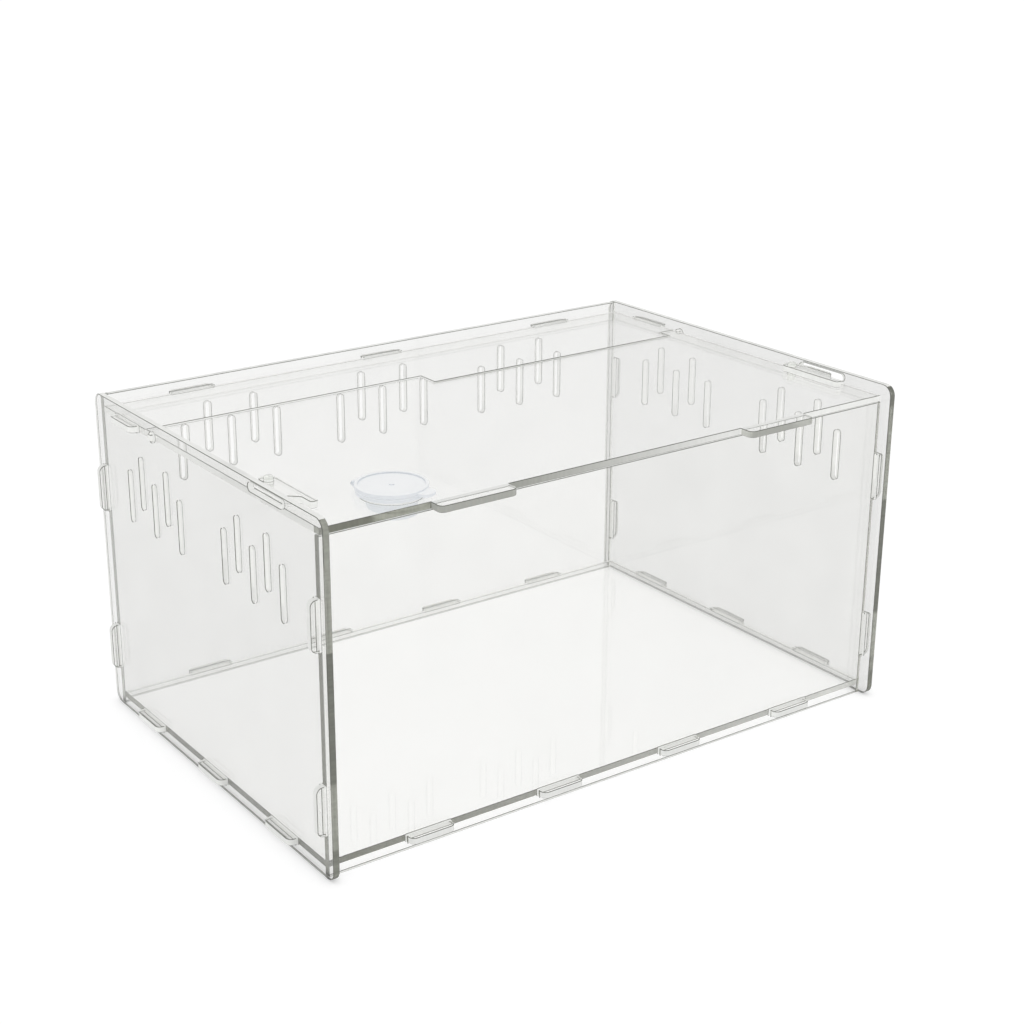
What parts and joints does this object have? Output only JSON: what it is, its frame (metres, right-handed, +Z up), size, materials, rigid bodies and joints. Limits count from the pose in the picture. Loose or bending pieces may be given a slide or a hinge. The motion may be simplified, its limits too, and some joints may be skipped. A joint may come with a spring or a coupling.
{
  "type": "acrylic reptile enclosure",
  "caption": "Clear tab-and-slot acrylic box with vented walls, a hinged lid held by turning cam latches, and a small lidded feeding cup hung in the lid.",
  "frame": {"origin": "middle of the footprint at floor level", "axes": "+X to the right along the width, +Y to the back, +Z up"},
  "size_m": [0.3066, 0.2056, 0.154],
  "materials": {
    "acrylic": "clear polished sheet with laser-cut edges",
    "frosted_polypropylene": "translucent, slightly frosted moulding"
  },
  "bodies": {
    "enclosure": {"left_side_panel": "acrylic", "right_side_panel": "acrylic", "front_panel": "acrylic", "back_panel": "acrylic", "base_panel": "acrylic", "rear_top_strip": "acrylic"},
    "lid": {"lid_panel": "acrylic"},
    "latch_left": {"latch_lever_left": "acrylic", "latch_dowel_left": "acrylic"},
    "latch_right": {"latch_lever_right": "acrylic", "latch_dowel_right": "acrylic"},
    "cup": {"feeding_cup": "frosted_polypropylene"},
    "cup_cap": {"feeding_cup_cap": "frosted_polypropylene"}
  },
  "joints": [
    {"name": "lid_hinge", "type": "hinge", "parent": "enclosure", "child": "lid", "pos_m": [0, 0.04425, 0.1475], "axis": [-1, 0, 0], "range_deg": [0, 110]},
    {"name": "latch_left_turn", "type": "hinge", "parent": "lid", "child": "latch_left", "pos_m": [-0.141, -0.04425, 0.149], "axis": [0, 0, 1], "range_deg": [-10, 75]},
    {"name": "latch_right_turn", "type": "hinge", "parent": "lid", "child": "latch_right", "pos_m": [0.141, -0.04425, 0.149], "axis": [0, 0, 1], "range_deg": [-75, 10]},
    {"name": "cup_lift", "type": "slide", "parent": "lid", "child": "cup", "axis": [0, 0, 1], "range_m": [0, 0.03]},
    {"name": "cap_flip", "type": "hinge", "parent": "cup", "child": "cup_cap", "pos_m": [-0.11155, -0.06334, 0.15095], "axis": [-0.9136, -0.4067, 0], "range_deg": [0, 110]}
  ]
}
